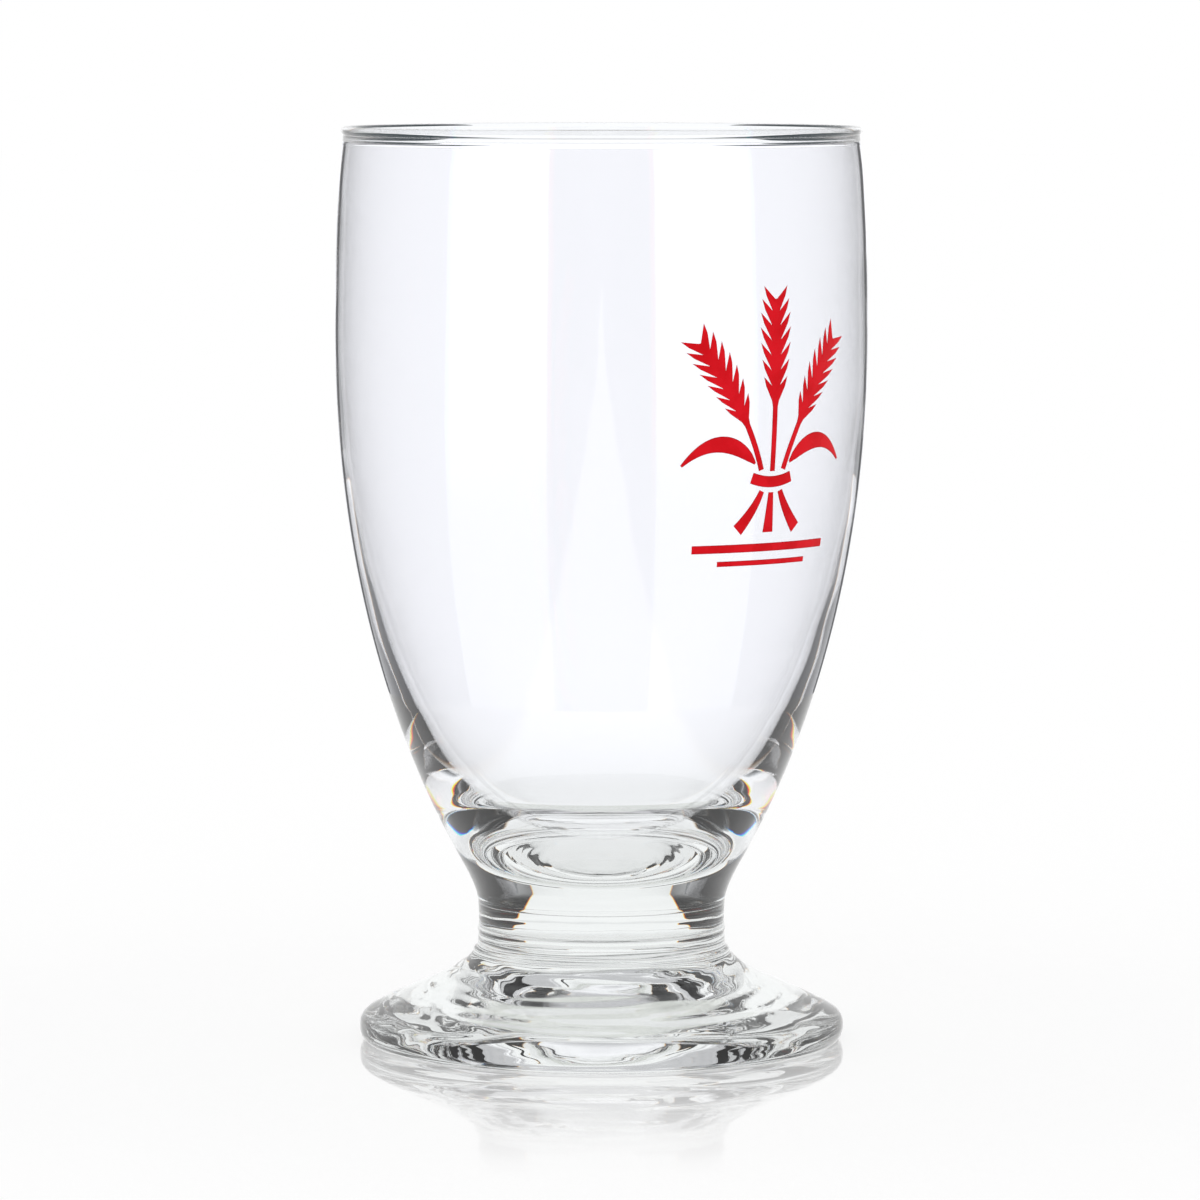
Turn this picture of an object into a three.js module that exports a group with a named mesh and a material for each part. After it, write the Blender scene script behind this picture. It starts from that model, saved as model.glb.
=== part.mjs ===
// A footed beer glass: a press-blown bowl, a short solid stem and a flared pressed foot, fused while hot,
// with a barley sheaf in red fired enamel on the bowl. It holds about 30 cl to the brim.
// Millimetres, +Z up. The origin is the centre of the ring that the foot stands on, and the front looks to -Y.
import * as THREE from 'three';

// Driving dimensions: radii from the axis and heights above the table
const HEIGHT = 124.1;
const STEM_RADIUS = 16.8;
const STEM_WAIST = 0.1;
const STEM_BOTTOM = 14;
const STEM_TOP = 18.8;

// The bowl turns out of the stem at its neck, rises as a cone to the belly and draws in to the mouth.
// A reach is the length of a curve's handle, and a slope is the radius gained for each millimetre of height.
const NECK_RADIUS = 18.9;
const NECK_HEIGHT = 24.25;
const NECK_REACH = 1.45;
const BELLY_RADIUS = 36.05;
const BELLY_HEIGHT = 95.9;
const BELLY_REACH = 32.3;
const CONE_SLOPE = 0.57;
const CONE_REACH = 15.4;
const MOUTH_RADIUS = 34.9;
const MOUTH_HEIGHT = 122.1;
const MOUTH_SLOPE = 0.16;
const MOUTH_REACH = 6;

// The wall is thin at the mouth and the belly, and thickens to the haunch above the solid base
const MOUTH_WALL = 0.58;
const BELLY_WALL = 0.62;
const HAUNCH_WALL = 2.35;
const HAUNCH_HEIGHT = 46.7;
const HAUNCH_SLOPE = 0.43;
const HAUNCH_REACH = 12;
const WALL_POWER = 2.5;
const FLOOR_HEIGHT = 24;
const FLOOR_REACH = 14;

// The mouth ends in a rolled bead above a faint ridge
const BEAD_RADIUS = 0.6;
const RIDGE_OUT = 0.12;

// The foot is a flare with a shoulder, a rounded edge, a flat ring to stand on and a domed dish inside it
const FLARE_DROP = 3.9;
const SHOULDER_RADIUS = 30.25;
const SHOULDER_HEIGHT = 4.9;
const SHOULDER_SLOPE = 0.48;
const FLARE_REACH = 6.05;
const BROW_REACH = 2.65;
const EDGE_RADIUS = 33;
const EDGE_HEIGHT = 1.95;
const EDGE_REACH = 0.95;
const STAND_OUTER = 31.8;
const STAND_INNER = 27;
const DISH_DEPTH = 6.5;
const DISH_REACH = 6;

// The enamel: where the middle of the print sits, how thick it is and how far it floats off the glass
const PRINT_AZIMUTH = THREE.MathUtils.degToRad(39.5);
const PRINT_HEIGHT = 84.8;
const ENAMEL_GAP = 0.12;
const ENAMEL_THICKNESS = 0.3;

// A barley ear: a straw, then grains that swell to a tip and notch back towards the straw
const STRAW_HALF = 0.42;
const GRAIN_HALF = 2.6;
const GRAIN_SWEEP = 1.1;
const GRAINS = 7;
const NOTCH_SHARE = 0.3;
const TIP_HALF = 0.18;
const LEAF_HALF = 1.1;
const CUT_HALF = 0.9;
const BINDING_HALF = 0.75;

const SEGMENTS = 48;

const point = (r, z) => new THREE.Vector2(r, z);
const cubic = (a, b, c, d) => new THREE.CubicBezierCurve(a, b, c, d);
const bow = (a, b, c) => new THREE.QuadraticBezierCurve(point(...a), point(...b), point(...c));

// Joins stretches of outline into one, leaving out each point that repeats the one before it
function outline(...stretches) {
  const joined = [];
  for (const p of stretches.flat()) {
    const last = joined.at(-1);
    if (!last || last.distanceTo(p) > 1e-6) joined.push(p);
  }
  return joined;
}

// Turns an outline that starts and ends on the axis round +Z
function turned(points) {
  const geometry = new THREE.LatheGeometry(points, SEGMENTS);
  geometry.rotateX(Math.PI / 2);
  return geometry;
}

// Bowl, outside: from the stem through the neck, up the cone to the belly, then to the mouth
const bowlNeck = cubic(
  point(STEM_RADIUS, STEM_TOP),
  point(STEM_RADIUS, STEM_TOP + NECK_REACH),
  point(NECK_RADIUS - CONE_SLOPE * NECK_REACH, NECK_HEIGHT - NECK_REACH),
  point(NECK_RADIUS, NECK_HEIGHT),
);
const bowlCone = cubic(
  point(NECK_RADIUS, NECK_HEIGHT),
  point(NECK_RADIUS + CONE_SLOPE * CONE_REACH, NECK_HEIGHT + CONE_REACH),
  point(BELLY_RADIUS, BELLY_HEIGHT - BELLY_REACH),
  point(BELLY_RADIUS, BELLY_HEIGHT),
);
const bowlThroat = cubic(
  point(BELLY_RADIUS, BELLY_HEIGHT),
  point(BELLY_RADIUS, BELLY_HEIGHT + MOUTH_REACH),
  point(MOUTH_RADIUS + MOUTH_SLOPE * MOUTH_REACH, MOUTH_HEIGHT - MOUTH_REACH),
  point(MOUTH_RADIUS, MOUTH_HEIGHT),
);

// Radius of the bowl's outside at height z above the neck, by halving the curve's parameter range
function bowlRadius(z) {
  const curve = z < BELLY_HEIGHT ? bowlCone : bowlThroat;
  let low = 0;
  let high = 1;
  for (let step = 0; step < 40; step += 1) {
    const middle = (low + high) / 2;
    if (curve.getPoint(middle).y < z) low = middle;
    else high = middle;
  }
  return curve.getPoint(low).x;
}

// Thickness of the wall, measured across, between the haunch and the belly
function wallAt(z) {
  const share = (BELLY_HEIGHT - z) / (BELLY_HEIGHT - HAUNCH_HEIGHT);
  return BELLY_WALL + (HAUNCH_WALL - BELLY_WALL) * share ** WALL_POWER;
}

function bowlGeometry() {
  const innerThroat = cubic(
    point(MOUTH_RADIUS - MOUTH_WALL, MOUTH_HEIGHT),
    point(MOUTH_RADIUS - MOUTH_WALL + MOUTH_SLOPE * MOUTH_REACH, MOUTH_HEIGHT - MOUTH_REACH),
    point(BELLY_RADIUS - BELLY_WALL, BELLY_HEIGHT + MOUTH_REACH),
    point(BELLY_RADIUS - BELLY_WALL, BELLY_HEIGHT),
  );
  const steps = 8;
  const innerWall = Array.from({ length: steps + 1 }, (_, i) => {
    const z = THREE.MathUtils.lerp(BELLY_HEIGHT, HAUNCH_HEIGHT, i / steps);
    return point(bowlRadius(z) - wallAt(z), z);
  });
  const haunch = innerWall.at(-1);
  const innerFloor = cubic(
    haunch,
    point(haunch.x - HAUNCH_SLOPE * HAUNCH_REACH, HAUNCH_HEIGHT - HAUNCH_REACH),
    point(FLOOR_REACH, FLOOR_HEIGHT),
    point(0, FLOOR_HEIGHT),
  );
  const beadCentre = point(MOUTH_RADIUS - MOUTH_WALL / 2, HEIGHT - BEAD_RADIUS);
  const ridge = point(MOUTH_RADIUS + RIDGE_OUT, (MOUTH_HEIGHT + beadCentre.y - BEAD_RADIUS) / 2);
  const bead = new THREE.EllipseCurve(
    beadCentre.x, beadCentre.y, BEAD_RADIUS, BEAD_RADIUS, -Math.PI / 4, (5 * Math.PI) / 4,
  );
  return turned(outline(
    [point(0, STEM_TOP)],
    bowlNeck.getPoints(5),
    bowlCone.getPoints(13),
    bowlThroat.getPoints(5),
    [ridge],
    bead.getPoints(8),
    innerThroat.getPoints(5),
    innerWall,
    innerFloor.getPoints(11),
  ));
}

function stemGeometry() {
  const third = (STEM_TOP - STEM_BOTTOM) / 3;
  const side = cubic(
    point(STEM_RADIUS, STEM_BOTTOM),
    point(STEM_RADIUS - STEM_WAIST, STEM_BOTTOM + third),
    point(STEM_RADIUS - STEM_WAIST, STEM_TOP - third),
    point(STEM_RADIUS, STEM_TOP),
  );
  return turned(outline([point(0, STEM_BOTTOM)], side.getPoints(6), [point(0, STEM_TOP)]));
}

function footGeometry() {
  const dish = cubic(
    point(0, DISH_DEPTH),
    point(STAND_INNER / 2, DISH_DEPTH),
    point(STAND_INNER - DISH_REACH, DISH_DEPTH / 10),
    point(STAND_INNER, 0),
  );
  const edge = cubic(
    point(STAND_OUTER, 0),
    point(EDGE_RADIUS - EDGE_REACH / 2, 0),
    point(EDGE_RADIUS, EDGE_HEIGHT - EDGE_REACH),
    point(EDGE_RADIUS, EDGE_HEIGHT),
  );
  const brow = cubic(
    point(EDGE_RADIUS, EDGE_HEIGHT),
    point(EDGE_RADIUS, EDGE_HEIGHT + EDGE_REACH),
    point(SHOULDER_RADIUS + BROW_REACH, SHOULDER_HEIGHT - SHOULDER_SLOPE * BROW_REACH),
    point(SHOULDER_RADIUS, SHOULDER_HEIGHT),
  );
  const flare = cubic(
    point(SHOULDER_RADIUS, SHOULDER_HEIGHT),
    point(SHOULDER_RADIUS - FLARE_REACH, SHOULDER_HEIGHT + SHOULDER_SLOPE * FLARE_REACH),
    point(STEM_RADIUS, STEM_BOTTOM - FLARE_DROP),
    point(STEM_RADIUS, STEM_BOTTOM),
  );
  return turned(outline(
    dish.getPoints(9),
    edge.getPoints(4),
    brow.getPoints(4),
    flare.getPoints(9),
    [point(0, STEM_BOTTOM)],
  ));
}

// A point of the print, u across and v up from its middle, laid on the bowl and lifted off it
function onBowl(u, v, lift) {
  const azimuth = PRINT_AZIMUTH + u / bowlRadius(PRINT_HEIGHT);
  const radius = bowlRadius(PRINT_HEIGHT + v) + lift;
  return [radius * Math.sin(azimuth), -radius * Math.cos(azimuth), PRINT_HEIGHT + v];
}

// One island of enamel, a closed thin solid: a strip along a curve. Each row of it has a place s along the
// curve, a half width, and a sweep, which is how far the row's ends run ahead of its middle.
function enamelStrip(curve, rows) {
  const columns = Math.max(...rows.map((row) => row.halfWidth)) > 1 ? 4 : 2;
  const positions = [];
  for (const lift of [ENAMEL_GAP, ENAMEL_GAP + ENAMEL_THICKNESS]) {
    for (const { s, halfWidth, sweep = 0 } of rows) {
      const middle = curve.getPoint(s);
      const along = curve.getTangent(s);
      for (let column = 0; column <= columns; column += 1) {
        const t = (2 * column) / columns - 1;
        const ahead = sweep * Math.abs(t);
        const u = middle.x + along.x * ahead + along.y * halfWidth * t;
        const v = middle.y + along.y * ahead - along.x * halfWidth * t;
        positions.push(...onBowl(u, v, lift));
      }
    }
  }
  const index = [];
  const quad = (a, b, c, d) => index.push(a, b, c, a, c, d);
  const at = (layer, row, column) => (layer * rows.length + row) * (columns + 1) + column;
  const lastRow = rows.length - 1;
  for (let row = 0; row < lastRow; row += 1) {
    for (let column = 0; column < columns; column += 1) {
      const face = (layer) => [
        at(layer, row, column), at(layer, row, column + 1),
        at(layer, row + 1, column + 1), at(layer, row + 1, column),
      ];
      quad(...face(1));
      quad(...face(0).reverse());
    }
    for (const column of [0, columns]) {
      const wall = [at(0, row, column), at(1, row, column), at(1, row + 1, column), at(0, row + 1, column)];
      quad(...(column ? wall.reverse() : wall));
    }
  }
  for (const row of [0, lastRow]) {
    for (let column = 0; column < columns; column += 1) {
      const wall = [at(0, row, column), at(0, row, column + 1), at(1, row, column + 1), at(1, row, column)];
      quad(...(row ? wall.reverse() : wall));
    }
  }
  const geometry = new THREE.BufferGeometry();
  geometry.setAttribute('position', new THREE.Float32BufferAttribute(positions, 3));
  geometry.setIndex(index);
  geometry.computeVertexNormals();
  return geometry;
}

// Rows of a straw up to the share start of its curve, and of the ear from there to the tip
function earRows(start) {
  const rows = [0, 0.49, 0.98].map((share) => ({ s: share * start, halfWidth: STRAW_HALF }));
  const pitch = (1 - start) / GRAINS;
  const row = (s, halfWidth) => rows.push({ s, halfWidth, sweep: GRAIN_SWEEP * halfWidth });
  for (let grain = 0; grain < GRAINS; grain += 1) {
    const base = start + grain * pitch;
    const full = GRAIN_HALF * (0.62 + 0.38 * Math.sin((Math.PI * (grain + 1)) / (GRAINS + 1)));
    row(base, full * NOTCH_SHARE);
    row(base + pitch * 0.42, full * 0.82);
    row(base + pitch * 0.86, full);
  }
  row(1, TIP_HALF);
  return rows;
}

// Rows at even places along a curve, with a half width given for each share of its length
function evenRows(count, halfWidthAt) {
  return Array.from({ length: count + 1 }, (_, i) => ({ s: i / count, halfWidth: halfWidthAt(i / count) }));
}
const leafRows = () => evenRows(12, (s) => TIP_HALF + (LEAF_HALF - TIP_HALF) * Math.sin(Math.PI * s ** 0.75));
const strawRows = () => evenRows(4, (s) => THREE.MathUtils.lerp(STRAW_HALF, CUT_HALF, s));
const bandRows = (half, count) => evenRows(count, () => half);

const clearGlass = () => new THREE.MeshStandardMaterial({
  color: 0xeef2f0, roughness: 0.03, metalness: 0, transparent: true, opacity: 0.35,
});
const redEnamel = () => new THREE.MeshStandardMaterial({ color: 0xc8141e, roughness: 0.25, metalness: 0 });

const glass = new THREE.Group();
function add(name, geometry, material) {
  const mesh = new THREE.Mesh(geometry, material);
  mesh.name = name;
  glass.add(mesh);
}
const print = (name, curve, rows) => add(`enamel_${name}`, enamelStrip(curve, rows), redEnamel());

add('foot', footGeometry(), clearGlass());
add('stem', stemGeometry(), clearGlass());
add('bowl', bowlGeometry(), clearGlass());

// The sheaf: three ears, two leaves, a binding, three cut straws and two rules. side mirrors left to right.
for (const [side, word] of [[-1, 'left'], [1, 'right']]) {
  print(`ear_${word}`, bow([1.9 * side, -5.3], [4.5 * side, 2.5], [11.5 * side, 11.5]), earRows(0.38));
  print(`leaf_${word}`, bow([3 * side, -4.4], [8.5 * side, 1], [14 * side, -4.5]), leafRows());
  print(`straw_${word}`, bow([1.6 * side, -8.1], [2.6 * side, -10.5], [5.2 * side, -13.2]), strawRows());
}
print('ear_middle', bow([0, -5.5], [0, 5], [0, 17]), earRows(0.4));
print('straw_middle', bow([0, -8.3], [0, -11], [0, -13.6]), strawRows());
print('binding', bow([-3.4, -6.3], [0, -7.5], [3.4, -6.3]), bandRows(BINDING_HALF, 6));
print('rule_upper', bow([-12, -15.6], [0, -15.6], [12, -15.6]), bandRows(0.55, 16));
print('rule_lower', bow([-8, -17.6], [0, -17.6], [8, -17.6]), bandRows(0.35, 12));

export default glass;
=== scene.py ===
# %% [markdown]
# # A footed beer glass, dressed for its portrait
# Clear glass has almost no colour of its own. What the eye reads is the room, bent by the glass: a white
# card behind it, darkness beside the card and soft lamps in front. So this lesson spends as much care on
# the studio as on the glass.
#
# The glass is turned from outlines, the red barley is laid on it as thin strips of enamel, and the studio
# is painted on the world and the floor.

import bpy
import numpy as np
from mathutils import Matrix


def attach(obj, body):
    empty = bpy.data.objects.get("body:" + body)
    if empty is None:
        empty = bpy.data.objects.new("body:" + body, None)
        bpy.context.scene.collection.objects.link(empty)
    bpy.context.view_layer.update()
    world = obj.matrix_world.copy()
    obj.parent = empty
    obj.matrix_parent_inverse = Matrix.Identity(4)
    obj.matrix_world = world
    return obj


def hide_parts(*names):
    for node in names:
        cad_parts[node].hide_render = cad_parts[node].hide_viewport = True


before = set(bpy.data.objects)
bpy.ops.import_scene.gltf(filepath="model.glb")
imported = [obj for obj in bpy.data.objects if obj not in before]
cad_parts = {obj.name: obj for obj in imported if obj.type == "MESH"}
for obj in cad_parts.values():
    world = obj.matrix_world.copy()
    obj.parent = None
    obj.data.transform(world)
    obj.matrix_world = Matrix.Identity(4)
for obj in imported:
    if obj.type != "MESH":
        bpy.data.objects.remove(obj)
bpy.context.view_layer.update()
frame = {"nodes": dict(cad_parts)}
MM = 0.001
BODY = "root"

bpy.context.scene.view_settings.view_transform = "Standard"
# Light crosses many surfaces in thick glass before it leaves, so it may bounce often.
bpy.context.scene.cycles.max_bounces = 32
bpy.context.scene.cycles.transmission_bounces = 32
bpy.context.scene.cycles.glossy_bounces = 16
print("frame:", ", ".join(frame["nodes"]))

# %% [markdown]
# ## The sizes
# Every size is in millimetres: radii from the axis and heights above the table. They are the sizes of the
# solids in the frame, so that each piece lands where its solid is, apart from fine relief such as the ridge
# at the mouth. Only the shared ones come first, the height of the glass and the collar between bowl and foot.
# The others stand with their pieces.

# %% Shared sizes
HEIGHT = 124.1
STEM_RADIUS, STEM_BOTTOM, STEM_TOP = 16.8, 14.0, 18.8
print("glass:", HEIGHT, "mm high, with its stem from", STEM_BOTTOM, "to", STEM_TOP)

# %% [markdown]
# ## Outlines
# Bowl, stem and foot are all round, so each is known by its outline: a row of radii and heights. An
# outline could be drawn as a curve object with the mouse. Here it is worked out, because then it follows
# the sizes exactly.

# %% Outlines
def bezier(points, steps):
    """Points along a cubic curve: a mix of its four points, whose shares change smoothly along it."""
    a, b, c, d = np.array(points, float)
    t = np.linspace(0, 1, steps + 1)[:, None]
    return (1 - t) ** 3 * a + 3 * (1 - t) ** 2 * t * b + 3 * (1 - t) * t**2 * c + t**3 * d


def joined(*stretches):
    """One outline from several stretches, without the points that repeat the one before."""
    points = np.vstack(stretches)
    step = np.linalg.norm(np.diff(points, axis=0), axis=1)
    return points[np.r_[True, step > 1e-6]]


def outward(outline):
    """The unit normal of an outline, on its right hand as it is walked: out of the glass."""
    along = np.gradient(outline, axis=0)
    normal = np.c_[along[:, 1], -along[:, 0]]
    return normal / np.linalg.norm(normal, axis=1, keepdims=True)


def walked(outline):
    """The distance walked along an outline at each of its points."""
    return np.r_[0, np.cumsum(np.linalg.norm(np.diff(outline, axis=0), axis=1))]


print("middle of a curve with handles 1 high:", bezier([(0, 0), (0, 1), (2, 1), (2, 0)], 2)[1])

# %% [markdown]
# ## Turned bodies
# A turned body is an outline carried round the axis. It could be made with the Spin tool or a Screw
# modifier. Here the whole grid of points is worked out at once with numpy, which lets every point carry a
# fine relief as well. The ends of an outline sit on the axis, and each becomes a single point, so the
# skin is closed.

# %% Turned bodies
def mesh_object(name, points, faces, materials):
    """A mesh object at the origin, from points in millimetres."""
    mesh = bpy.data.meshes.new(name)
    mesh.from_pydata((points * MM).tolist(), [], faces)
    for material in materials:
        mesh.materials.append(material)
    thing = bpy.data.objects.new(name, mesh)
    bpy.context.scene.collection.objects.link(thing)
    return thing


def ring_faces(rings, around):
    """Quads between each ring of points and the next, wrapped round."""
    ring, spoke = np.mgrid[0 : rings - 1, 0:around]
    after = (spoke + 1) % around
    quads = [ring * around + spoke, ring * around + after]
    quads += [(ring + 1) * around + after, (ring + 1) * around + spoke]
    return np.stack(quads, -1).reshape(-1, 4)


def turned_body(name, outline, around, relief, solid, materials, joints):
    """The surface at angle a and place s is the outline's radius and height at s, moved along its normal by
    relief(a, s, radius, height), swung to a round the axis. The first and the last point of the outline are
    the poles. solid says how thick the glass is at each place, and joints which of the two end discs are
    fused to the next gather of glass."""
    angle = np.linspace(0, 2 * np.pi, around, endpoint=False)[None, :]
    middle, normal = outline[1:-1], outward(outline)[1:-1]
    lift = relief(angle, walked(outline)[1:-1, None], middle[:, :1], middle[:, 1:])
    radius = middle[:, :1] + normal[:, :1] * lift
    height = middle[:, 1:] + normal[:, 1:] * lift
    rings = np.stack([radius * np.sin(angle), -radius * np.cos(angle), height], -1)
    count = len(rings)
    poles = [[0, 0, outline[0, 1]], [0, 0, outline[-1, 1]]]
    points = np.vstack([rings.reshape(-1, 3), poles])
    spoke = np.arange(around)
    after = (spoke + 1) % around
    top = (count - 1) * around
    first = np.c_[np.full(around, count * around), after, spoke]
    last = np.c_[np.full(around, count * around + 1), top + spoke, top + after]
    faces = ring_faces(count, around).tolist() + first.tolist() + last.tolist()
    body = mesh_object(name, points, faces, materials)
    slots = np.zeros(len(faces), int)
    slots[top : top + around] = joints[0]
    slots[top + around :] = joints[1]
    body.data.polygons.foreach_set("material_index", slots)
    body.data.polygons.foreach_set("use_smooth", slots == 0)
    thick = np.r_[np.repeat(solid[1:-1], around), solid[0], solid[-1]]
    body.data.attributes.new("solid", "FLOAT", "POINT").data.foreach_set("value", thick)
    return body


def piece(thing, node):
    """Ties a finished piece to its body, hides the solid it stands for, and counts its faces."""
    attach(thing, BODY)
    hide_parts(node)
    print(f"{thing.name}: {len(thing.data.polygons)} faces for {node}")


print("two rings of 8 points are joined by", len(ring_faces(2, 8)), "faces")

# %% [markdown]
# ## Wires
# A shader is a sum written in nodes. The nodes could be placed and joined one by one, as in the Shader
# Editor. Wire wraps a node's socket instead, so that the sum can be written and read as a sum.

# %% Wires
class Wire:
    """An output socket that can be added to, multiplied and so on. Each step makes a Math node."""

    def __init__(self, socket):
        self.socket = socket
        self.tree = socket.id_data

    def node(self, kind, sockets=(), out=0, **settings):
        """Makes any other node in the same tree, with its settings and its sockets, and gives an output."""
        made = self.tree.nodes.new(kind)
        for key, value in settings.items():
            setattr(made, key, value)
        for key, value in dict(sockets).items():
            if isinstance(value, Wire):
                self.tree.links.new(value.socket, made.inputs[key])
            else:
                made.inputs[key].default_value = value
        return Wire(made.outputs[out])

    def other(self, out):
        """Another output of the same node."""
        return Wire(self.socket.node.outputs[out])

    def math(self, operation, *others):
        return self.node("ShaderNodeMath", enumerate((self, *others)), operation=operation)

    def __add__(self, other):
        return self.math("ADD", other)

    def __sub__(self, other):
        return self.math("SUBTRACT", other)

    def __rsub__(self, other):
        return self * -1 + other

    def __mul__(self, other):
        return self.math("MULTIPLY", other)

    def __truediv__(self, other):
        return self.math("DIVIDE", other)

    __radd__ = __add__
    __rmul__ = __mul__

    def rise(self, low, high):
        """0 below low, 1 above high, and a smooth rise between."""
        ends = {"Value": self, "From Min": low, "From Max": high}
        return self.node("ShaderNodeMapRange", ends, interpolation_type="SMOOTHSTEP")

    def between(self, low, high, soft):
        """1 from low to high, with soft edges."""
        return self.rise(low - soft, low + soft) - self.rise(high - soft, high + soft)

    def blend(self, at_zero, at_one):
        """A colour between two, where this wire is the share of the second."""
        return self.node("ShaderNodeMix", {0: self, 6: at_zero, 7: at_one}, out=2, data_type="RGBA")


def fresh_tree(owner, output):
    """An empty node tree with its output node, and the place on the surface to start from."""
    owner.use_nodes = True
    owner.node_tree.nodes.clear()
    end = owner.node_tree.nodes.new(output)
    place = Wire(owner.node_tree.nodes.new("ShaderNodeTexCoord").outputs["Object"])
    return end, place


def finish_tree(end, surface):
    """Joins the finished shader to the output node."""
    surface.tree.links.new(surface.socket, end.inputs["Surface"])


print("steps of a wire:", ", ".join(name for name in vars(Wire) if not name.startswith("_")))

# %% [markdown]
# ## Clear glass
# Soda-lime glass is clear, faintly green where it is thick, and polished by fire. It could be a Glass
# shader with an absorbing volume. A Principled shader with full transmission was chosen, because its
# colour can follow the attribute *solid*, which tells how thick the glass is. The thin wall is perfectly
# polished, and the solid glass has a haze of washing marks that roughens it by very little. The studio
# tells the two apart by that.
#
# Where two gathers of glass were fused nothing is left to see, so the discs between them let light
# straight through.

# %% Clear glass
GLASS_IOR = 1.52
THIN_TINT, SOLID_TINT = (0.985, 0.985, 0.992, 1), (0.785, 0.8, 0.765, 1)
THIN_LIMIT = 0.02
HAZE_SCALE, HAZE_FROM, HAZE_TO = 60, 0.62, 0.95
SOLID_ROUGHNESS, HAZE_ROUGHNESS = 0.008, 0.015


def clear_glass():
    material = bpy.data.materials.new("clear_glass")
    end, place = fresh_tree(material, "ShaderNodeOutputMaterial")
    solid = place.node("ShaderNodeAttribute", attribute_name="solid", out="Fac")
    tint = solid.blend(THIN_TINT, SOLID_TINT)
    haze = place.node("ShaderNodeTexNoise", {"Vector": place, "Scale": HAZE_SCALE, "Detail": 4}, out="Fac")
    marks = haze.rise(HAZE_FROM, HAZE_TO) * HAZE_ROUGHNESS + SOLID_ROUGHNESS
    rough = solid.rise(0, THIN_LIMIT) * marks
    glass = {"Base Color": tint, "Roughness": rough, "IOR": GLASS_IOR, "Transmission Weight": 1.0}
    finish_tree(end, place.node("ShaderNodeBsdfPrincipled", glass))
    return material


def fused_joint():
    material = bpy.data.materials.new("fused_joint")
    end, place = fresh_tree(material, "ShaderNodeOutputMaterial")
    finish_tree(end, place.node("ShaderNodeBsdfTransparent"))
    return material


GLASS = [clear_glass(), fused_joint()]
print("materials:", ", ".join(material.name for material in GLASS))

# %% [markdown]
# ## The bowl's outside
# The bowl was blown into a mould, so its outside is smooth and true. It is three curves: a neck that
# leaves the stem, a cone that widens to the belly and a throat that draws in to the mouth. One long curve
# would take many points to hold this shape. Three of four points each do it, with a *reach*, the length
# of a handle, and a *slope*, the radius gained for each millimetre of height, that both curves at a
# meeting point share.

# %% The bowl's outside
NECK_RADIUS, NECK_HEIGHT, NECK_REACH = 18.9, 24.25, 1.45
CONE_SLOPE, CONE_REACH = 0.57, 15.4
BELLY_RADIUS, BELLY_HEIGHT, BELLY_REACH = 36.05, 95.9, 32.3
MOUTH_RADIUS, MOUTH_HEIGHT, MOUTH_SLOPE, MOUTH_REACH = 34.9, 122.1, 0.16, 6.0
NECK = [
    (STEM_RADIUS, STEM_TOP),
    (STEM_RADIUS, STEM_TOP + NECK_REACH),
    (NECK_RADIUS - CONE_SLOPE * NECK_REACH, NECK_HEIGHT - NECK_REACH),
    (NECK_RADIUS, NECK_HEIGHT),
]
CONE = [
    (NECK_RADIUS, NECK_HEIGHT),
    (NECK_RADIUS + CONE_SLOPE * CONE_REACH, NECK_HEIGHT + CONE_REACH),
    (BELLY_RADIUS, BELLY_HEIGHT - BELLY_REACH),
    (BELLY_RADIUS, BELLY_HEIGHT),
]
THROAT = [
    (BELLY_RADIUS, BELLY_HEIGHT),
    (BELLY_RADIUS, BELLY_HEIGHT + MOUTH_REACH),
    (MOUTH_RADIUS + MOUTH_SLOPE * MOUTH_REACH, MOUTH_HEIGHT - MOUTH_REACH),
    (MOUTH_RADIUS, MOUTH_HEIGHT),
]
BOWL_SIDE = joined(bezier(NECK, 100), bezier(CONE, 400), bezier(THROAT, 200))


def bowl_radius(height):
    """Radius of the bowl's outside at a height."""
    return np.interp(height, BOWL_SIDE[:, 1], BOWL_SIDE[:, 0])


print("belly:", 2 * BELLY_RADIUS, "mm across,", BELLY_HEIGHT, "mm up")

# %% [markdown]
# ## The bowl's inside
# The inside follows the outside at the thickness of the wall, which grows towards the haunch, then turns
# in to the floor. A rolled bead ends the mouth, where the cut edge was melted round, with a fine ridge
# below it. A Solidify modifier would make a wall of one thickness, so the inside is an outline of its
# own.

# %% The bowl's inside
MOUTH_WALL, BELLY_WALL, HAUNCH_WALL, WALL_POWER = 0.58, 0.62, 2.35, 2.5
HAUNCH_HEIGHT, HAUNCH_SLOPE, HAUNCH_REACH = 46.7, 0.43, 12.0
FLOOR_HEIGHT, FLOOR_REACH = 24.0, 14.0
BEAD_RADIUS, BEAD_FROM, BEAD_TO = 0.6, -60, 240
RIDGE_OUT, RIDGE_HEIGHT, RIDGE_WIDTH = 0.05, 122.35, 0.13
NECK_STEPS, CONE_STEPS, THROAT_STEPS, COLLAR_STEPS = 24, 96, 40, 18
BEAD_STEPS, WALL_STEPS, FLOOR_STEPS = 30, 60, 64


def mouth_outline():
    """The short collar with its ridge, then the bead, an arc from its outer foot round to its inner foot."""
    turn = np.radians(np.linspace(BEAD_FROM, BEAD_TO, BEAD_STEPS + 1))
    bead_middle = np.array([MOUTH_RADIUS - MOUTH_WALL / 2, HEIGHT - BEAD_RADIUS])
    bead = bead_middle + BEAD_RADIUS * np.c_[np.cos(turn), np.sin(turn)]
    height = np.linspace(MOUTH_HEIGHT, bead[0, 1], COLLAR_STEPS + 1)
    ridge = RIDGE_OUT * np.exp(-(((height - RIDGE_HEIGHT) / RIDGE_WIDTH) ** 2))
    return np.vstack([np.c_[MOUTH_RADIUS + ridge, height], bead])


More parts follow.
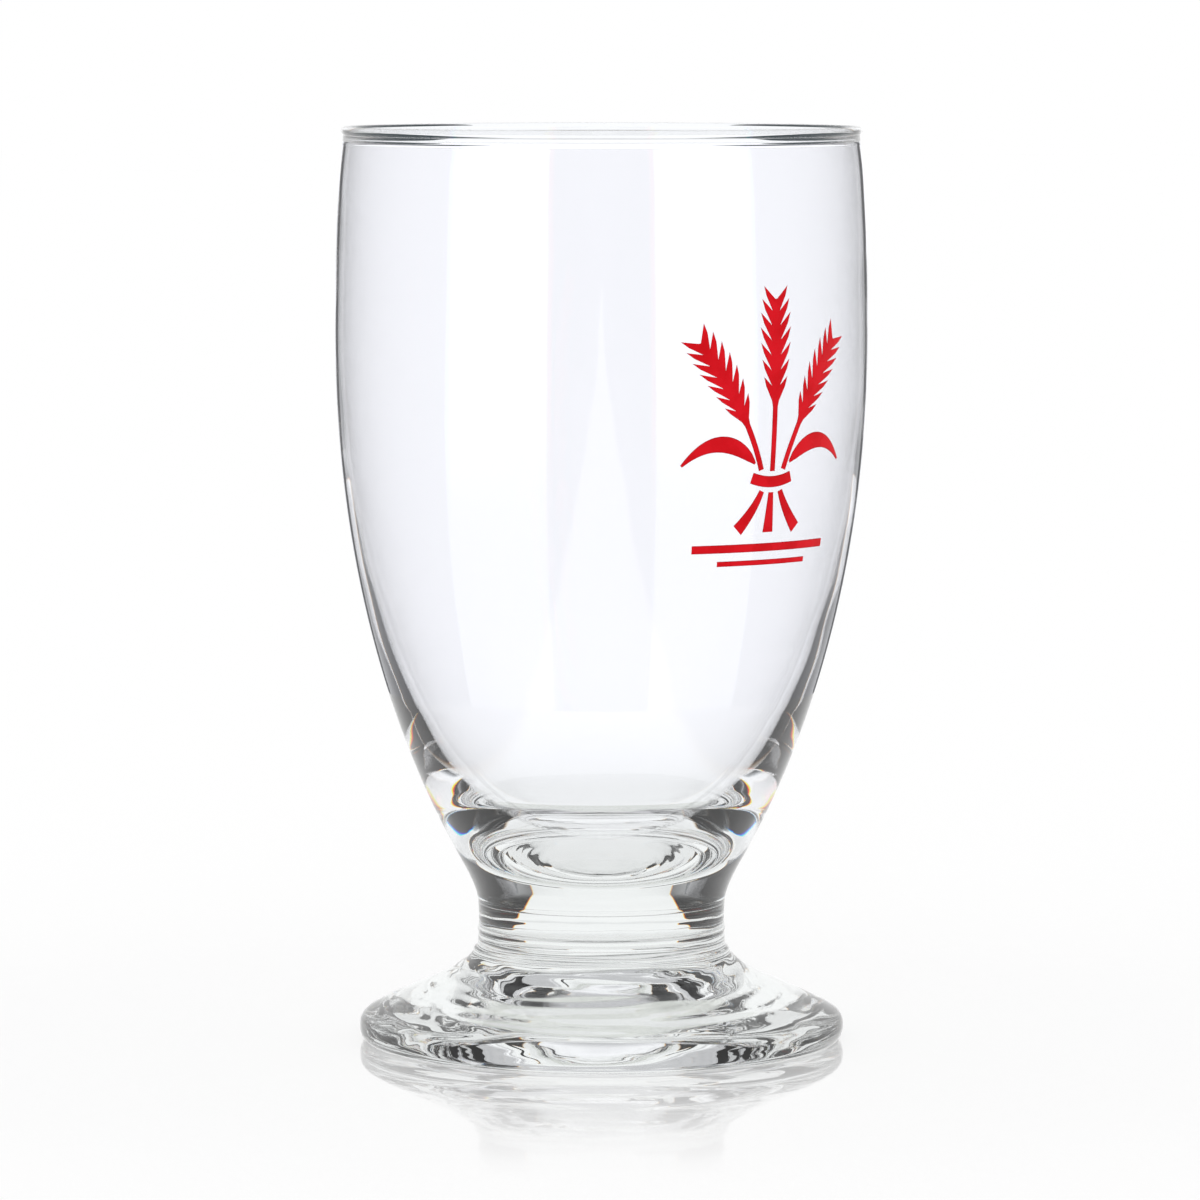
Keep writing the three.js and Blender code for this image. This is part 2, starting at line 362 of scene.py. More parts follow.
def inner_outline(throat):
    """From the mouth down: the throat less its wall, the wall that grows with the depth, and the floor."""
    wall = np.linspace(BELLY_WALL, MOUTH_WALL, len(throat))
    inner_throat = (throat - np.c_[wall, np.zeros(len(throat))])[::-1]
    height = np.linspace(BELLY_HEIGHT, HAUNCH_HEIGHT, WALL_STEPS + 1)
    share = (BELLY_HEIGHT - height) / (BELLY_HEIGHT - HAUNCH_HEIGHT)
    wall = BELLY_WALL + (HAUNCH_WALL - BELLY_WALL) * share**WALL_POWER
    inner_wall = np.c_[bowl_radius(height) - wall, height]
    haunch = inner_wall[-1]
    turn = (haunch[0] - HAUNCH_SLOPE * HAUNCH_REACH, HAUNCH_HEIGHT - HAUNCH_REACH)
    floor = bezier([haunch, turn, (FLOOR_REACH, FLOOR_HEIGHT), (0, FLOOR_HEIGHT)], FLOOR_STEPS)
    return np.vstack([inner_throat, inner_wall, floor])


throat = bezier(THROAT, THROAT_STEPS)
outside = [[(0, STEM_TOP)], bezier(NECK, NECK_STEPS), bezier(CONE, CONE_STEPS), throat]
bowl_outline = joined(*outside, mouth_outline(), inner_outline(throat))
print("bowl's outline:", len(bowl_outline), "points")

# %% [markdown]
# ## The blown wall
# Blown glass is never quite even. The inside touched only air, so it waves a little, and the outside
# waves less. A Displace modifier with a noise texture could do it. A sum of cosines needs no texture and
# closes without a seam, because each has a whole number of lobes round the axis. The outer waves only
# sink, and stay in the solid's box.

# %% The blown wall
AROUND = 256
INNER_WAVE, INNER_WAVES = 0.012, {"seed": 3, "count": 14, "lobes": (1, 9), "lengths": (9, 30)}
OUTER_WAVE, OUTER_WAVES = 0.003, {"seed": 4, "count": 10, "lobes": (1, 7), "lengths": (12, 40)}
OUTER_SINK = 1.5
STILL_ABOVE_STEM, STILL_BELOW_MOUTH, STILL_MIDDLE = 6, 4, 9
SOLID_BELOW, THIN_ABOVE, BEAD_SOLID = 26, 50, 0.5


def ramp(values, low, high):
    """0 below low, 1 above high and even between."""
    return np.clip((values - low) / (high - low), 0, 1)


def waves(angle, place, seed, count, lobes, lengths):
    """A calm uneven surface, about 1 high: the sum of count cosines over the root of count. Each has its own
    number of lobes round the axis, its own wave length along the outline and its own phase."""
    draw = np.random.default_rng(seed)
    lobe = draw.integers(*lobes, size=count)
    pitch = 2 * np.pi / draw.uniform(*lengths, size=count) * draw.choice([-1, 1], size=count)
    phase = draw.uniform(0, 2 * np.pi, size=count)
    crest = np.cos(lobe * angle[..., None] + pitch * place[..., None] + phase)
    return crest.sum(-1) / np.sqrt(count)


def bowl_relief(angle, place, radius, height):
    """Waves inside and out, which die down at the stem, at the mouth and in the middle of the floor."""
    inside = place > place[np.argmax(height)]
    still = ramp(height - STEM_TOP, 0, STILL_ABOVE_STEM) * ramp(MOUTH_HEIGHT - height, 0, STILL_BELOW_MOUTH)
    inner = INNER_WAVE * waves(angle, place, **INNER_WAVES) * ramp(radius, 0, STILL_MIDDLE)
    outer = OUTER_WAVE * np.minimum(waves(angle, place, **OUTER_WAVES) - OUTER_SINK, 0)
    return np.where(inside, inner, outer) * still


def bowl_solid(outline):
    """Full on the outside of the base, fading up the wall, half full in the bead and none inside."""
    height = outline[:, 1]
    outside = np.arange(len(height)) < np.argmax(height)
    base = (1 - ramp(height, SOLID_BELOW, THIN_ABOVE)) ** 2 * outside
    return np.maximum(base, BEAD_SOLID * (height > MOUTH_HEIGHT))


bowl = turned_body("blown_bowl", bowl_outline, AROUND, bowl_relief, bowl_solid(bowl_outline), GLASS, (1, 0))
piece(bowl, "bowl")

# %% [markdown]
# ## The stem
# The stem is a short solid collar with a slight waist, fused to bowl and foot while hot. The mould left a
# ring low on it. A cylinder with a few loop cuts would do from afar. It is turned from an outline like
# the bowl, so that its ends have exactly the radius of its neighbours.

# %% The stem
STEM_WAIST, STEM_STEPS, STEM_STILL = 0.1, 70, 0.8
STEM_RING, STEM_RING_HEIGHT, RING_WIDTH = 0.14, 15.2, 0.3
STEM_WAVE, STEM_WAVES = 0.003, {"seed": 5, "count": 12, "lobes": (2, 24), "lengths": (2, 6)}


def stem_relief(angle, place, radius, height):
    """The ring of the mould and slight waves, which die down at both ends."""
    still = ramp(height - STEM_BOTTOM, 0, STEM_STILL) * ramp(STEM_TOP - height, 0, STEM_STILL)
    ring = STEM_RING * np.exp(-(((height - STEM_RING_HEIGHT) / RING_WIDTH) ** 2))
    return still * (ring + STEM_WAVE * waves(angle, place, **STEM_WAVES))


third = (STEM_TOP - STEM_BOTTOM) / 3
STEM_SIDE = [
    (STEM_RADIUS, STEM_BOTTOM),
    (STEM_RADIUS - STEM_WAIST, STEM_BOTTOM + third),
    (STEM_RADIUS - STEM_WAIST, STEM_TOP - third),
    (STEM_RADIUS, STEM_TOP),
]
stem_outline = joined([(0, STEM_BOTTOM)], bezier(STEM_SIDE, STEM_STEPS), [(0, STEM_TOP)])
all_solid = np.ones(len(stem_outline))
stem = turned_body("stem_collar", stem_outline, AROUND, stem_relief, all_solid, GLASS, (1, 1))
piece(stem, "stem")

# %% [markdown]
# ## The foot's outline
# The foot was pressed. Underneath there is a domed dish inside a flat ring, on which the glass stands.
# The edge is rounded, the brow runs up to the shoulder and the flare sweeps in to the stem. It could be
# modelled from a disc with bevels. An outline of curves was chosen, because the light bent in the foot
# shows the least kink.

# %% The foot's outline
DISH_DEPTH, DISH_REACH, STAND_INNER, STAND_OUTER = 6.5, 6.0, 27.0, 31.8
EDGE_RADIUS, EDGE_HEIGHT, EDGE_REACH = 33.0, 1.95, 0.95
SHOULDER_RADIUS, SHOULDER_HEIGHT, SHOULDER_SLOPE, BROW_REACH = 30.25, 4.9, 0.48, 2.65
FLARE_DROP, FLARE_REACH = 3.9, 6.05
DISH_STEPS, STAND_STEPS, EDGE_STEPS, BROW_STEPS, FLARE_STEPS = 60, 6, 24, 36, 110
DISH = [
    (0, DISH_DEPTH),
    (STAND_INNER / 2, DISH_DEPTH),
    (STAND_INNER - DISH_REACH, DISH_DEPTH / 10),
    (STAND_INNER, 0),
]
EDGE = [
    (STAND_OUTER, 0),
    (EDGE_RADIUS - EDGE_REACH / 2, 0),
    (EDGE_RADIUS, EDGE_HEIGHT - EDGE_REACH),
    (EDGE_RADIUS, EDGE_HEIGHT),
]
BROW = [
    (EDGE_RADIUS, EDGE_HEIGHT),
    (EDGE_RADIUS, EDGE_HEIGHT + EDGE_REACH),
    (SHOULDER_RADIUS + BROW_REACH, SHOULDER_HEIGHT - SHOULDER_SLOPE * BROW_REACH),
    (SHOULDER_RADIUS, SHOULDER_HEIGHT),
]
FLARE = [
    (SHOULDER_RADIUS, SHOULDER_HEIGHT),
    (SHOULDER_RADIUS - FLARE_REACH, SHOULDER_HEIGHT + SHOULDER_SLOPE * FLARE_REACH),
    (STEM_RADIUS, STEM_BOTTOM - FLARE_DROP),
    (STEM_RADIUS, STEM_BOTTOM),
]
stand_radius = np.linspace(STAND_INNER, STAND_OUTER, STAND_STEPS + 1)
underside = [bezier(DISH, DISH_STEPS), np.c_[stand_radius, np.zeros(STAND_STEPS + 1)]]
top_side = [bezier(EDGE, EDGE_STEPS), bezier(BROW, BROW_STEPS), bezier(FLARE, FLARE_STEPS)]
foot_outline = joined(*underside, *top_side, [(0, STEM_BOTTOM)])
print("foot's outline:", len(foot_outline), "points,", 2 * EDGE_RADIUS, "mm across")

# %% [markdown]
# ## The pressed foot
# Pressed glass keeps the ripples of the cold mould, the ring where its parts met and two seams across
# from each other. A bump in the material would only tilt the light. They are real relief in the mesh,
# because thick glass is a lens, and its inner pictures bend with the surface.

# %% The pressed foot
FOOT_AROUND = 384
FOOT_RING, FOOT_RING_HEIGHT = 0.17, 12.4
SEAM, SEAM_WIDTH, SEAM_ANGLE = 0.025, 0.35, np.radians(54)
SEAM_FROM, SEAM_TO, SEAM_WANDER, SEAM_PITCH = 3, 6, 0.02, 1.9
RIPPLE, RIPPLES = 0.03, {"seed": 6, "count": 30, "lobes": (1, 6), "lengths": (2.4, 5)}
RIPPLE_SINK, RIPPLE_TOP = 1, 0.5
STILL_ABOVE_TABLE, STILL_BELOW_STEM, STILL_DISH = 1.5, 1, 8


def foot_relief(angle, place, radius, height):
    """Ripples, ring and seams, which die down at the table, at the stem and in the middle of the dish. A
    seam is a bell curve of the way round to the nearer of two opposite angles, which wander with height."""
    still = ramp(height, 0, STILL_ABOVE_TABLE) * ramp(STEM_BOTTOM - height, 0, STILL_BELOW_STEM)
    ring = FOOT_RING * np.exp(-(((height - FOOT_RING_HEIGHT) / RING_WIDTH) ** 2))
    wander = SEAM_WANDER * np.sin(SEAM_PITCH * height)
    aside = radius * np.abs((angle - SEAM_ANGLE - wander + np.pi / 2) % np.pi - np.pi / 2)
    seam = SEAM * np.exp(-((aside / SEAM_WIDTH) ** 2)) * ramp(height, SEAM_FROM, SEAM_TO)
    ripples = RIPPLE * np.minimum(waves(angle, place, **RIPPLES) - RIPPLE_SINK, RIPPLE_TOP)
    return still * ramp(radius, 0, STILL_DISH) * (ripples + seam + ring)


all_solid = np.ones(len(foot_outline))
foot = turned_body("pressed_foot", foot_outline, FOOT_AROUND, foot_relief, all_solid, GLASS, (0, 1))
piece(foot, "foot")

# %% [markdown]
# ## The red enamel
# Fired enamel is glass with colour in it, printed through a screen: even, glossy, and a little darker
# in a thin band along its edge. It could be painted on the glass as a mask in its shader. Here it is a
# piece of its own, as on the real bowl, and the attribute *edge* tells the shader how near the edge it is.
# Fine grains from the screen stay in it as a slight bump.

# %% The red enamel
DEEP_RED, BRIGHT_RED, EDGE_RED = (0.6, 0.003, 0.008, 1), (0.7, 0.006, 0.014, 1), (0.24, 0.002, 0.006, 1)
EDGE_SHARE = 0.8
CLOUD_SCALE, CLOUD_FROM, CLOUD_TO = 260, 0.35, 0.65
GRAIN_SCALE, GRAIN_STRENGTH, GRAIN_DEPTH = 5200, 0.12, 0.01
GLOSS_ROUGHNESS, CLOUD_ROUGHNESS, GLOSS_LEVEL = 0.2, 0.14, 0.06


def red_enamel():
    material = bpy.data.materials.new("red_enamel")
    end, place = fresh_tree(material, "ShaderNodeOutputMaterial")
    edge = place.node("ShaderNodeAttribute", attribute_name="edge", out="Fac")
    cloud = place.node("ShaderNodeTexNoise", {"Vector": place, "Scale": CLOUD_SCALE, "Detail": 5}, out="Fac")
    grain = place.node("ShaderNodeTexNoise", {"Vector": place, "Scale": GRAIN_SCALE, "Detail": 2}, out="Fac")
    body = cloud.rise(CLOUD_FROM, CLOUD_TO).blend(DEEP_RED, BRIGHT_RED)
    colour = (edge * EDGE_SHARE).blend(body, EDGE_RED)
    rough = GLOSS_ROUGHNESS + cloud * CLOUD_ROUGHNESS
    relief = {"Height": grain, "Strength": GRAIN_STRENGTH, "Distance": GRAIN_DEPTH * MM}
    bump = place.node("ShaderNodeBump", relief)
    gloss = {"Base Color": colour, "Roughness": rough, "Normal": bump, "Specular IOR Level": GLOSS_LEVEL}
    finish_tree(end, place.node("ShaderNodeBsdfPrincipled", gloss))
    return material


RED = red_enamel()
print("material:", RED.name)

# %% [markdown]
# ## Strips of enamel
# Each island of the print is a strip along a curve, drawn flat in millimetres across and up from the
# middle of the print, then laid on the bowl. A flat drawing could be wrapped on with a Shrinkwrap
# modifier. The bowl's own outline gives the same place exactly. A row of the strip has a place along the
# curve, a half width and a sweep, which is how far its ends run ahead of its middle.

# %% Strips of enamel
PRINT_AZIMUTH, PRINT_HEIGHT = np.radians(39.5), 84.8
FILM_GAP, FILM_THICKNESS, RIM_SHARE, DOME_POWER = 0.015, 0.05, 0.4, 6
EDGE_WIDTH = 0.12
COLUMNS, ROWS_BETWEEN = 17, 5


def on_bowl(across, up, lift):
    """A point of the print, laid on the bowl and lifted off it."""
    azimuth = PRINT_AZIMUTH + across / bowl_radius(PRINT_HEIGHT)
    radius = bowl_radius(PRINT_HEIGHT + up) + lift
    return np.stack([radius * np.sin(azimuth), -radius * np.cos(azimuth), PRINT_HEIGHT + up], -1)


def enamel_strip(name, points, rows, node):
    """The surface at row s and turn t round the strip is the place on a quadratic curve at s, moved sideways
    by the row's half width times t, which runs from -1 to 1 over the top and back underneath, and ahead by
    its sweep. The top is domed by the film's thickness, and both ends are capped."""
    rows = np.array(rows)
    count = ROWS_BETWEEN * (len(rows) - 1) + 1
    spread = np.linspace(0, len(rows) - 1, count)
    s, half, sweep = (np.interp(spread, np.arange(len(rows)), column)[:, None] for column in rows.T)
    a, b, c = np.array(points, float)
    middle = (1 - s) ** 2 * a + 2 * (1 - s) * s * b + s**2 * c
    along = (1 - s) * (b - a) + s * (c - b)
    along /= np.linalg.norm(along, axis=1, keepdims=True)
    top = np.sin(np.linspace(-np.pi / 2, np.pi / 2, COLUMNS))
    t = np.r_[top, top[::-1]]
    dome = np.r_[RIM_SHARE + (1 - RIM_SHARE) * (1 - top**DOME_POWER), np.zeros(COLUMNS)]
    across = middle[:, :1] + along[:, :1] * sweep * np.abs(t) + along[:, 1:] * half * t
    up = middle[:, 1:] + along[:, 1:] * sweep * np.abs(t) - along[:, :1] * half * t
    surface = on_bowl(across, up, FILM_GAP + FILM_THICKNESS * dome)
    ring = 2 * COLUMNS
    caps = [np.arange(ring)[::-1].tolist(), (np.arange(ring) + (count - 1) * ring).tolist()]
    strip = mesh_object(name, surface.reshape(-1, 3), ring_faces(count, ring).tolist() + caps, [RED])
    depth = np.clip(half * (1 - np.abs(t)) / EDGE_WIDTH, 0, 1)
    strip.data.attributes.new("edge", "FLOAT", "POINT").data.foreach_set("value", 1 - depth.ravel())
    piece(strip, node)


print("print: middle", PRINT_HEIGHT, "mm up, film", FILM_THICKNESS, "mm thick")

# %% [markdown]
# ## The barley print
# The print is a sheaf: three ears on their straws, two leaves, a binding, three cut straws below it and
# two rules. It could be a picture on the bowl. As strips it stays sharp from close by, and each island is
# the piece that the frame has for it. The grains of an ear are swept rows that swell and notch back.

# %% Rows of the strips
STRAW_HALF, GRAIN_HALF, GRAIN_SWEEP, GRAINS = 0.42, 2.6, 1.1, 7
GRAIN_LEAST = 0.62
GRAIN_STEPS = ((0, 0.3), (0.42, 0.82), (0.86, 1))
TIP_HALF, LEAF_HALF, LEAF_POWER, CUT_HALF, BINDING_HALF = 0.18, 1.1, 0.75, 0.9, 0.75


def ear_rows(start):
    """A straw up to the share start of its curve, then grains that swell to a tip and notch back. The steps
    of a grain are shares of its length and of its full half width."""
    rows = [(share * start, STRAW_HALF, 0) for share in (0, 0.49, 0.98)]
    pitch = (1 - start) / GRAINS
    for grain in range(GRAINS):
        base = start + grain * pitch
        swell = np.sin(np.pi * (grain + 1) / (GRAINS + 1))
        full = GRAIN_HALF * (GRAIN_LEAST + (1 - GRAIN_LEAST) * swell)
        for step, share in GRAIN_STEPS:
            rows.append((base + step * pitch, share * full, GRAIN_SWEEP * share * full))
    return rows + [(1, TIP_HALF, GRAIN_SWEEP * TIP_HALF)]


def even_rows(count, half):
    """Rows at even places, with the half width that a function gives for each."""
    return [(s, half(s), 0) for s in np.linspace(0, 1, count + 1)]


leaf_rows = even_rows(12, lambda s: TIP_HALF + (LEAF_HALF - TIP_HALF) * np.sin(np.pi * s**LEAF_POWER))
straw_rows = even_rows(4, lambda s: STRAW_HALF + (CUT_HALF - STRAW_HALF) * s)
binding_rows = even_rows(6, lambda s: BINDING_HALF)
print("rows: leaf", len(leaf_rows), "straw", len(straw_rows), "binding", len(binding_rows))

# %% The barley print
for side, word in ((-1, "left"), (1, "right")):
    ear = [(1.9 * side, -5.3), (4.5 * side, 2.5), (11.5 * side, 11.5)]
    leaf = [(3 * side, -4.4), (8.5 * side, 1), (14 * side, -4.5)]
    straw = [(1.6 * side, -8.1), (2.6 * side, -10.5), (5.2 * side, -13.2)]
    enamel_strip(f"barley_ear_{word}", ear, ear_rows(0.38), f"enamel_ear_{word}")
    enamel_strip(f"barley_leaf_{word}", leaf, leaf_rows, f"enamel_leaf_{word}")
    enamel_strip(f"cut_straw_{word}", straw, straw_rows, f"enamel_straw_{word}")
enamel_strip("barley_ear_middle", [(0, -5.5), (0, 5), (0, 17)], ear_rows(0.4), "enamel_ear_middle")
enamel_strip("cut_straw_middle", [(0, -8.3), (0, -11), (0, -13.6)], straw_rows, "enamel_straw_middle")
enamel_strip("sheaf_binding", [(-3.4, -6.3), (0, -7.5), (3.4, -6.3)], binding_rows, "enamel_binding")
for word, reach, up, half in (("upper", 12, -15.6, 0.55), ("lower", 8, -17.6, 0.35)):
    rule = [(-reach, up), (0, up), (reach, up)]
    enamel_strip(f"rule_{word}", rule, even_rows(16, lambda s: half), f"enamel_rule_{word}")

# %% [markdown]
# ## Kinds of rays
# A photographer shows clear glass by what is out of the picture: white behind it and dark beside that.
# Cards and lamps could be built as meshes round the glass, but then other views would show them. Here the
# world, the floor and the flags ask each ray what it has been through, and show each kind something else.
#
# The camera sees white. So does light that just crossed the thin wall of the bowl, which is told by its
# perfect polish or by more than two surfaces crossed, and the glass stays clear from every side. A ray
# that the thin wall mirrors sees the lamps. A ray that solid glass bent sees card, runner and dark, and
# each colour looks them up at a slightly different bearing, because glass bends blue light more than red.
# An *echo* was mirrored inside the glass and crossed the walls as well. It sees no lamps, which would
# draw steps in the bowl.

# %% Kinds of rays
SHEET_TONE = (1.0, 1.01, 1.05)
COLOUR_SPREAD = (-0.012, 0, 0.012)


def at_least(count, whole):
    """1 where a count, which is a whole number, has reached the one given."""
    return count.rise(whole - 0.6, whole - 0.4)


class Rays:
    """Wires that are 1 for one kind of ray: plain from the camera or the floor, mirrored by the thin wall,
    through the thin wall, or bent by solid glass. A turned ray was mirrored somewhere on its way, and an
    echo crossed more than two surfaces as well."""

    def __init__(self, place):
        self.camera = place.node("ShaderNodeLightPath", out="Is Camera Ray")
        bent = self.camera.other("Is Transmission Ray")
        thin = self.camera.other("Is Singular Ray")
        walls = at_least(self.camera.other("Transmission Depth"), 3)
        self.turned = at_least(self.camera.other("Glossy Depth"), 1)
        self.echo = self.turned * walls
        self.mirrored = self.camera.other("Is Glossy Ray") * (1 - bent) * thin
        self.through = bent * walls.math("MAXIMUM", thin) * (1 - self.turned)
        self.solid = bent - self.through
        self.plain = 1 - bent - self.mirrored

    def colour(self, mirrored, through, solid, *places):
        """The colour seen, from the level for each kind of ray. solid is a function of places."""
        grey = self.mirrored * mirrored + self.through * through
        channels = []
        for spread, tone in zip(COLOUR_SPREAD, SHEET_TONE):
            bent = self.solid * solid(*(place * (1 + spread) for place in places))
            channels.append(self.plain + (grey + bent) * tone)
        return grey.node("ShaderNodeCombineColor", enumerate(channels))


print("red, green and blue are looked up at", [1 + spread for spread in COLOUR_SPREAD], "of a bearing")

# %% [markdown]
# ## The studio
# A white card stands behind the glass and two soft lamps in front, and beyond them the room is dark,
# which draws the dark lines in clear glass. They could be area lights and planes. They are painted on the
# world by their bearing, the angle from straight behind the glass, and so each kind of ray can have its own.
# A turned ray that leaves low sees only a slot of the card, so that more of what it draws in the base is
# dark.

# %% The studio
SHEET_LEVEL, ROOM_DIM, EDGE_SOFT = 1.12, 0.03, 0.5
CARD_HALF, SLOT_HALF, SLOT_UP_FROM, SLOT_UP_TO = 28, 10, 0.07, 0.1
LAMP_FROM, LAMP_TO = 110, 157
SIDE_FROM, SIDE_TO, SIDE_FADE = 55, 120, 0.6
GAP_FROM, GAP_TO, GAP_FADE = 154, 160, 0.4
LINE_FROM, LINE_TO, LINE_SOFT, LINE_SHADE = 12, 21, 2, 0.75
WING_FROM, WING_TO, WING_SOFT, WING_SHADE = 14, 40, 3, 0.05
CEILING_FROM, CEILING_TO, CEILING_LEVEL = 0.45, 0.8, 0.6


def bearing(vector):
    """The angle from straight behind the glass, either way round, in degrees."""
    across = vector.node("ShaderNodeSeparateXYZ", {"Vector": vector})
    return across.math("ABSOLUTE").math("ARCTAN2", across.other("Y")) * (180 / np.pi)


def card(angle, narrow):
    """The white card. Where narrow is 1 it is only a slot."""
    half = CARD_HALF - narrow * (CARD_HALF - SLOT_HALF)
    return 1 - (angle - half).rise(-EDGE_SOFT, EDGE_SOFT)


def lamps_at(angle):
    return angle.between(LAMP_FROM, LAMP_TO, EDGE_SOFT)


def in_mirror(angle):
    """A white that fades to the sides and in the gap between the lamps, a shade that draws the bowl's edge
    as a line, and the lamps."""
    white = 1 - angle.rise(SIDE_FROM, SIDE_TO) * SIDE_FADE - angle.rise(GAP_FROM, GAP_TO) * GAP_FADE
    line = angle.between(LINE_FROM, LINE_TO, LINE_SOFT) * LINE_SHADE
    return white * (1 - line) + lamps_at(angle)


def past_walls(angle):
    """What is seen through the thin wall: white, with a slight shade at the card's wings."""
    return SHEET_LEVEL * (1 - angle.between(WING_FROM, WING_TO, WING_SOFT) * WING_SHADE)


def build_world():
    world = bpy.data.worlds.new("studio")
    bpy.context.scene.world = world
    end, place = fresh_tree(world, "ShaderNodeOutputWorld")
    direction = place.other("Generated")
    up = direction.node("ShaderNodeSeparateXYZ", {"Vector": direction}, out="Z")
    ceiling = up.rise(CEILING_FROM, CEILING_TO)
    angle = bearing(direction)
    rays = Rays(place)
    narrow = rays.turned * (1 - up.rise(SLOT_UP_FROM, SLOT_UP_TO))

    def room(level):
        return level * (1 - ceiling) + ceiling * CEILING_LEVEL

    def in_glass(angle):
        lamps = lamps_at(angle) * (1 - rays.echo)
        return room(card(angle, narrow) * SHEET_LEVEL + lamps + ROOM_DIM)

    colour = rays.colour(room(in_mirror(angle)), past_walls(angle), in_glass, angle)
    finish_tree(end, place.node("ShaderNodeBackground", {"Color": colour}))


build_world()
print("world: card to", CARD_HALF, "degrees, lamps from", LAMP_FROM, "to", LAMP_TO)

# %% [markdown]
# ## The floor
# The glass stands on matt white paper with a polish that mirrors the foot and fades away from it. A
# shadow catcher would need a second picture to lie over. This floor is half a light and half a matt
# white, so that it stays as white as the background and still takes a soft shadow. To bent rays it goes
# on with the card and the lamps, has a white runner under the glass and a painted shadow near the foot.

# %% The floor
FLOOR_DROP, FLOOR_HALF = 0.05, 6000
FAR_FROM, FAR_TO, FRONT_FROM, FRONT_TO = 500, 600, 80, 100
RUNNER_HALF, RUNNER_SOFT = 42, 4
LAMPS_BEGIN, LAMPS_FULL = 120, 500
FOOT_PAINTED_SHADOW, PAINTED_SHADOW_FROM, PAINTED_SHADOW_TO = 0.14, 45, 120
MATT_SHARE, POLISH_ROUGHNESS, POLISH_IOR = 0.5, 0.02, 1.5
GLEAM, GLEAM_FROM, GLEAM_TO = 1.3, 34, 115


def seen_in_glass(place, rays, x, reach):
    """The floor's light for rays that met glass: card, runner and lamps, a little darker near the foot as a
    painted shadow.
    """
    angle = bearing(place)
    far = reach.rise(FAR_FROM, FAR_TO)
    front = angle.rise(FRONT_FROM, FRONT_TO)
    narrow = rays.turned * far

    def in_glass(angle, across, reach):
        runner = 1 - across.rise(RUNNER_HALF - RUNNER_SOFT, RUNNER_HALF + RUNNER_SOFT)
        runner = runner * (1 - front * rays.echo)
        lamps = lamps_at(angle) * (1 - rays.echo) * reach.rise(LAMPS_BEGIN, LAMPS_FULL)
        paper = card(angle, narrow).math("MAXIMUM", runner) * SHEET_LEVEL + lamps + ROOM_DIM
        # Painted shadow: near the foot the floor that bent rays see is made a little darker, for the shadow
        # of the glass.
        return paper * (reach.rise(PAINTED_SHADOW_FROM, PAINTED_SHADOW_TO) * FOOT_PAINTED_SHADOW + (1 - FOOT_PAINTED_SHADOW))

    clear = past_walls(angle) * far + SHEET_LEVEL * (1 - far)
    colour = rays.colour(in_mirror(angle), clear, in_glass, angle, x.math("ABSOLUTE") / MM, reach)
    return place.node("ShaderNodeEmission", {"Color": colour})


def floor_material():
    material = bpy.data.materials.new("pale_floor")
    end, place = fresh_tree(material, "ShaderNodeOutputMaterial")
    x = place.node("ShaderNodeSeparateXYZ", {"Vector": place})
    y = x.other("Y")
    reach = (x * x + y * y).math("SQRT") / MM
    rays = Rays(place)
    seen = seen_in_glass(place, rays, x, reach)
    white = place.node("ShaderNodeEmission")
    matt = place.node("ShaderNodeBsdfDiffuse", {"Color": (1, 1, 1, 1)})
    lit = place.node("ShaderNodeMixShader", {0: MATT_SHARE, 1: white, 2: matt})
    mirror = place.node("ShaderNodeBsdfGlossy", {"Color": (1, 1, 1, 1), "Roughness": POLISH_ROUGHNESS})
    polish = place.node("ShaderNodeFresnel", {"IOR": POLISH_IOR})
    gleam = (1 - reach.rise(GLEAM_FROM, GLEAM_TO)) * polish * GLEAM
    near = place.node("ShaderNodeMixShader", {0: gleam, 1: lit, 2: mirror})
    finish_tree(end, place.node("ShaderNodeMixShader", {0: rays.camera, 1: seen, 2: near}))
    return material


corners = FLOOR_HALF * np.array([(-1, -1, 0), (1, -1, 0), (1, 1, 0), (-1, 1, 0)], float)
corners[:, 2] = -FLOOR_DROP
floor = mesh_object("floor", corners, [(0, 1, 2, 3)], [floor_material()])
print("floor:", 2 * FLOOR_HALF * MM, "m across")

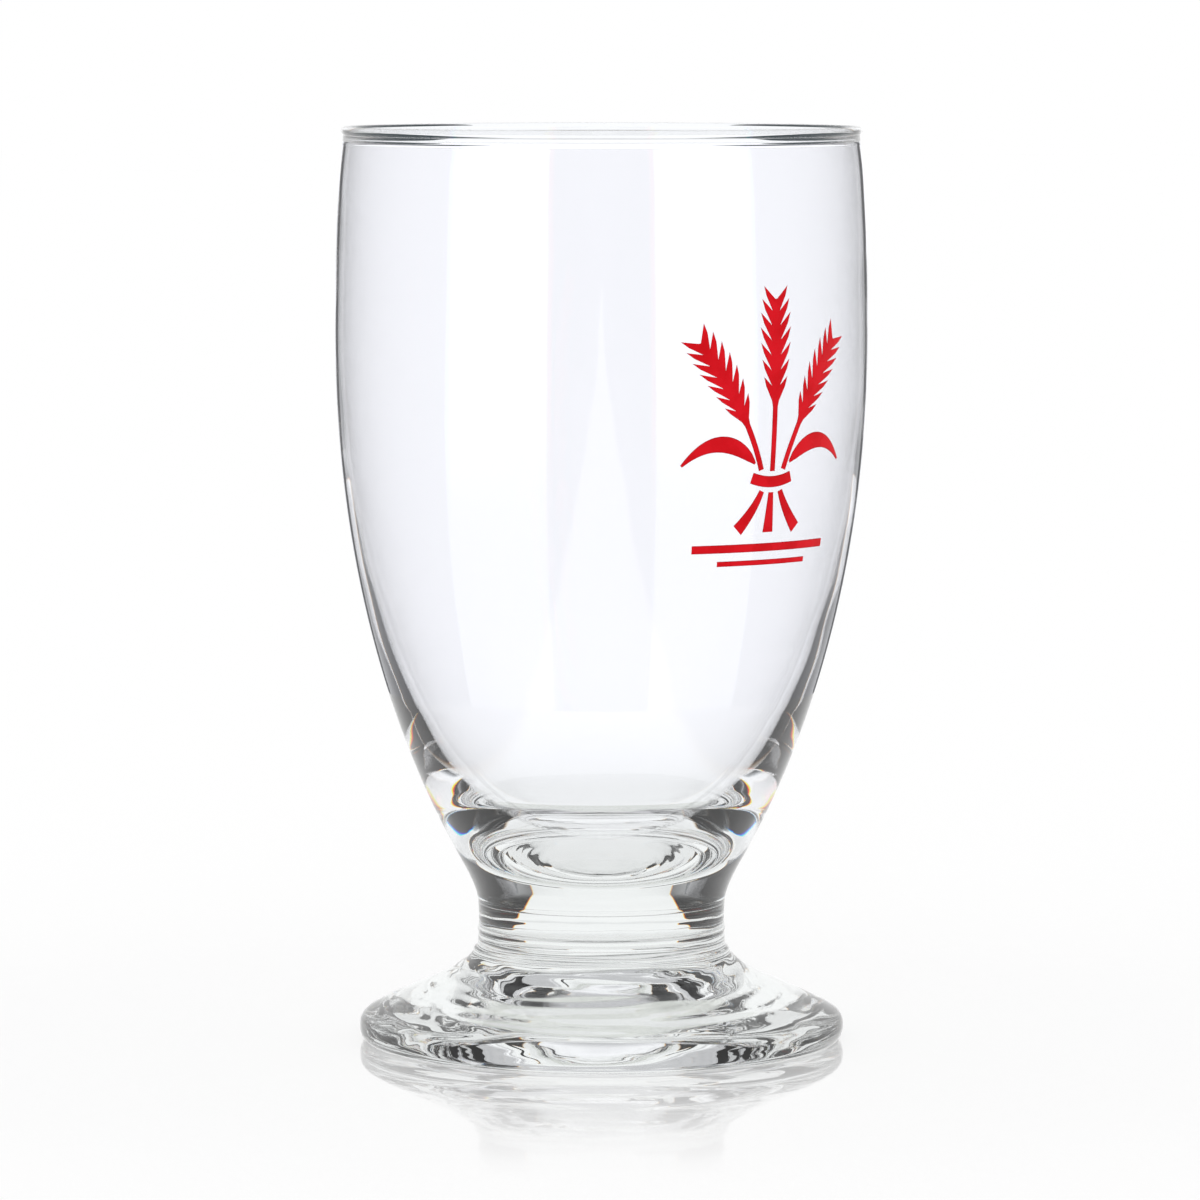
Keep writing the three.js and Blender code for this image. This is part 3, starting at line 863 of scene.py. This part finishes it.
# %% [markdown]
# ## The flags
# A photographer holds dark flags close to a glass to give its rim a dark line. Two stand on each side
# behind the mouth, and only rays that solid glass bent see them. Painted on the world they would show in the
# neck as well, so they are meshes close behind the mouth. Their slanted edges let the dark taper off towards
# the front.

# %% The flags
FLAG_BEHIND = 50
FLAG_COLOUR = (0.012, 0.03, 0.04, 1)
UPPER_FLAG = [(20, 185), (23, 164), (26, 139), (29.5, 128), (33, 124.8), (80, 124.8), (80, 185)]
LOWER_FLAG = [(18, 60), (80, 60), (80, 117), (18, 117)]


def flag_material():
    material = bpy.data.materials.new("dark_flag")
    end, place = fresh_tree(material, "ShaderNodeOutputMaterial")
    rays = Rays(place)
    clear = place.node("ShaderNodeBsdfTransparent")
    dark = place.node("ShaderNodeEmission", {"Color": FLAG_COLOUR})
    sees = rays.solid * (1 - rays.turned)
    finish_tree(end, place.node("ShaderNodeMixShader", {0: sees, 1: clear, 2: dark}))
    return material


dark_flag = flag_material()
for flag, word in ((UPPER_FLAG, "upper"), (LOWER_FLAG, "lower")):
    for side, hand in ((-1, "left"), (1, "right")):
        corners = np.array([(side * x, FLAG_BEHIND, z) for x, z in flag], float)
        mesh_object(f"flag_{word}_{hand}", corners, [list(range(len(flag)))], [dark_flag])
print("flags:", FLAG_BEHIND, "mm behind the axis")

# %% [markdown]
# ## The camera
# The photograph was taken with a long lens from a little above the rim. A wide lens close by would bulge
# the bowl. The place and the tilt come from how round the rim and the foot look.

# %% The camera
SENSOR, LENS, TILT = 36, 200.65, 4.963
CAMERA_PLACE = np.array([-0.2, -905, 138.5])

lens = bpy.data.cameras.new("camera")
lens.sensor_width = SENSOR
lens.lens = LENS
lens.clip_start = 10 * MM
camera = bpy.data.objects.new("camera", lens)
camera.location = CAMERA_PLACE * MM
camera.rotation_euler = (np.radians(90 - TILT), 0, 0)
bpy.context.scene.collection.objects.link(camera)
bpy.context.scene.camera = camera
print("camera:", LENS, "mm lens,", -CAMERA_PLACE[1], "mm in front of the axis")

# %% [markdown]
# ## The box
# The dressed glass must fill the same box as its solids.
